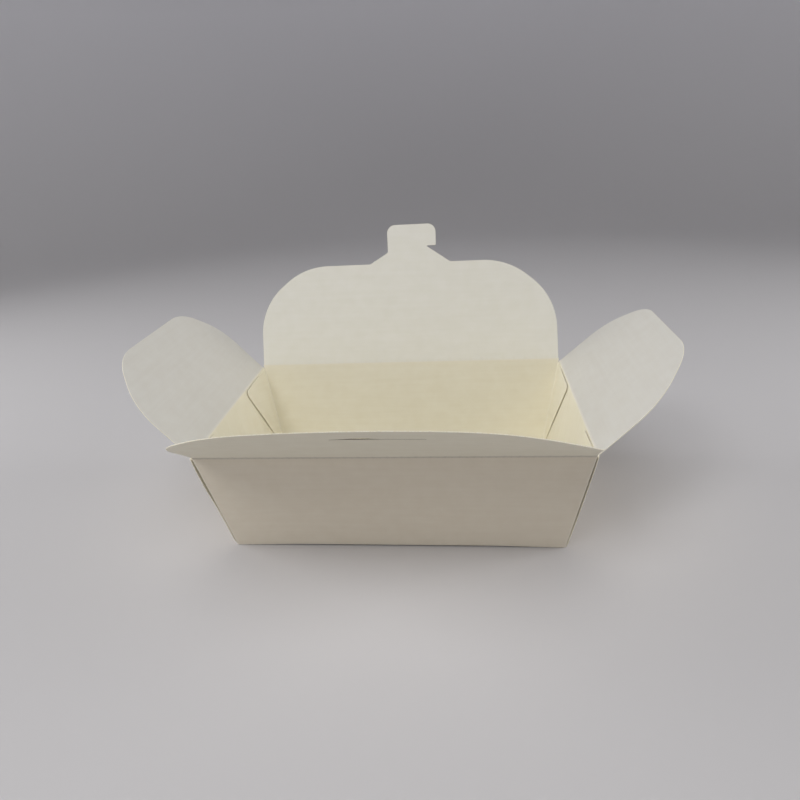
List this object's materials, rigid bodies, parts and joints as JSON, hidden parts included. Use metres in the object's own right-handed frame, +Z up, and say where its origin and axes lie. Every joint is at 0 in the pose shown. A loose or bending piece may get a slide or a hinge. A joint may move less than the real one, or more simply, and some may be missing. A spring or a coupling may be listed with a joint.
{
  "type": "takeout food box",
  "caption": "Open takeout food box of plain pale coated paperboard: a tapered rectangular tray with fold-over lid flaps and a locking tongue.",
  "frame": {"origin": "centre of the underside of the base, on the table", "axes": "+Z up, +X along the longer side, front of the box towards -Y; the back flap carries the locking tongue"},
  "size_m": [0.2835, 0.194, 0.149],
  "materials": {
    "coated_board": "smooth satin coating on both faces, cream cut edges"
  },
  "bodies": {
    "tray": {"tray": "coated_board"},
    "back_flap": {"back_flap": "coated_board"},
    "front_flap": {"front_flap": "coated_board"},
    "left_flap": {"left_flap": "coated_board"},
    "right_flap": {"right_flap": "coated_board"}
  },
  "joints": [
    {"name": "back_flap_crease", "type": "hinge", "parent": "tray", "child": "back_flap", "pos_m": [0, 0.06189, 0.06275], "axis": [1, 0, 0], "range_deg": [-97, 100]},
    {"name": "front_flap_crease", "type": "hinge", "parent": "tray", "child": "front_flap", "pos_m": [0, -0.06177, 0.062], "axis": [-1, 0, 0], "range_deg": [-59, 141]},
    {"name": "left_flap_crease", "type": "hinge", "parent": "tray", "child": "left_flap", "pos_m": [-0.09965, 0, 0.06125], "axis": [0, 1, 0], "range_deg": [-69, 133]},
    {"name": "right_flap_crease", "type": "hinge", "parent": "tray", "child": "right_flap", "pos_m": [0.09965, 0, 0.06125], "axis": [0, -1, 0], "range_deg": [-64, 138]}
  ]
}
